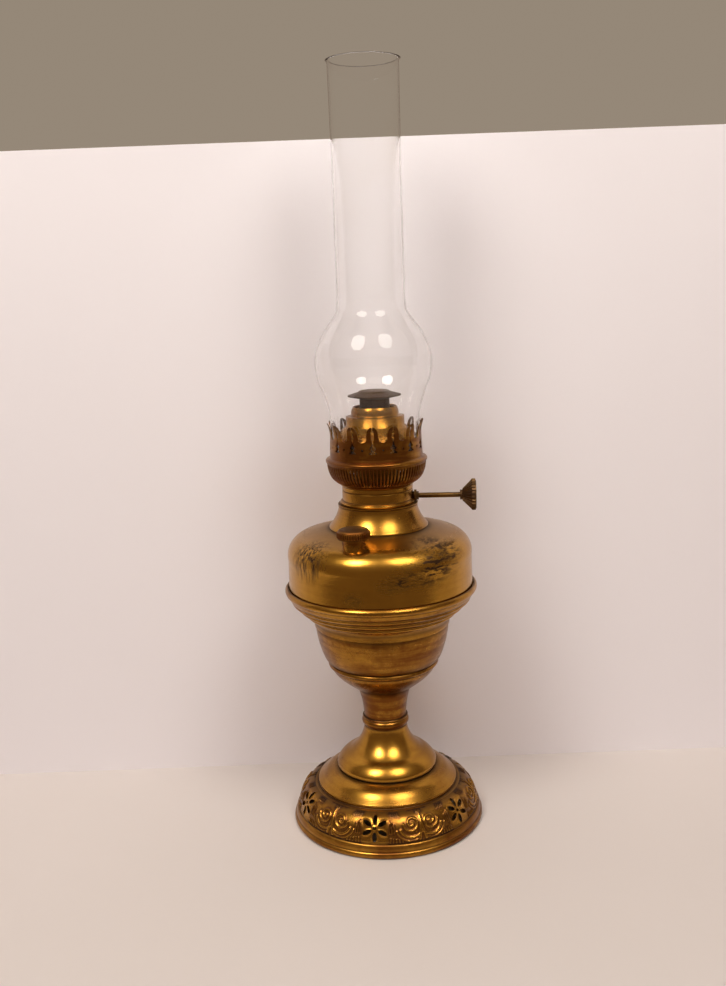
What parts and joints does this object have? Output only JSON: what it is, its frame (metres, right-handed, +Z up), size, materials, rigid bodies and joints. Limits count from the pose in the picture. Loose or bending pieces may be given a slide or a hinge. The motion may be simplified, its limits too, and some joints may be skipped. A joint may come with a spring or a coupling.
{
  "type": "table oil lamp",
  "caption": "Brass table oil lamp: pierced foot, stem, bowl, oil font with filler cap, round-wick burner with winder, gallery, flame spreader and a bulb glass chimney.",
  "frame": {"origin": "centre of the foot rim on the resting plane", "axes": "+Z up along the lamp's axis; the wick winder points along +X; the filler cap is at the front left, towards -Y and -X"},
  "size_m": [0.142, 0.142, 0.5406],
  "materials": {
    "aged_brass": "satin spun brass with brown patina in the grooves",
    "plain_brass": "plain sheet brass, unpolished",
    "dark_brass": "dark toned brass",
    "burnt_brass": "heat-darkened brass, nearly matte",
    "steel": "plain steel",
    "cork": "cork washer",
    "cotton": "woven cotton wick",
    "glass": "clear thin lamp glass"
  },
  "bodies": {
    "lamp": {"foot_shell": "aged_brass", "foot_dome": "aged_brass", "knop_ring": "aged_brass", "stem_tube": "aged_brass", "tie_rod": "steel", "tie_washers": "steel", "tie_nuts": "steel", "bowl": "aged_brass", "tray": "aged_brass", "font_pan": "plain_brass", "font_drum": "aged_brass", "font_neck": "aged_brass", "font_collar": "aged_brass", "filler_neck": "plain_brass"},
    "cap": {"filler_cap": "aged_brass", "filler_gasket": "cork"},
    "burner": {"burner_body": "aged_brass", "burner_deck": "plain_brass", "air_basket": "dark_brass", "inner_tube": "plain_brass", "outer_tube": "plain_brass", "air_duct": "plain_brass", "pinion_bracket": "plain_brass", "shaft_gland": "dark_brass"},
    "winder": {"winder_shaft": "dark_brass", "winder_pinion": "plain_brass", "winder_knob": "dark_brass"},
    "wick": {"wick": "cotton", "wick_carrier": "plain_brass"},
    "gallery": {"gallery": "dark_brass", "draught_cone": "dark_brass"},
    "spreader": {"spreader_stem": "burnt_brass", "spreader_disc": "burnt_brass"},
    "chimney": {"chimney": "glass"}
  },
  "joints": [
    {"name": "cap_lift", "type": "slide", "parent": "lamp", "child": "cap", "axis": [0, 0, 1], "range_m": [0, 0.02]},
    {"name": "burner_lift", "type": "slide", "parent": "lamp", "child": "burner", "axis": [0, 0, 1], "range_m": [0, 0.1]},
    {"name": "winder_turn", "type": "hinge", "parent": "burner", "child": "winder", "pos_m": [0.05, 0, 0.2452], "axis": [1, 0, 0], "range_deg": [-143.24, 47.75]},
    {"name": "wick_raise", "type": "slide", "parent": "burner", "child": "wick", "axis": [0, 0, 1], "range_m": [-0.009, 0.003]},
    {"name": "gallery_lift", "type": "slide", "parent": "burner", "child": "gallery", "axis": [0, 0, 1], "range_m": [0, 0.03]},
    {"name": "spreader_lift", "type": "slide", "parent": "gallery", "child": "spreader", "axis": [0, 0, 1], "range_m": [0, 0.03]},
    {"name": "chimney_lift", "type": "slide", "parent": "gallery", "child": "chimney", "axis": [0, 0, 1], "range_m": [0, 0.06]}
  ],
  "couplings": [
    {"joint": "winder_turn", "follows": "wick_raise", "rad_per_m": 277.77}
  ]
}
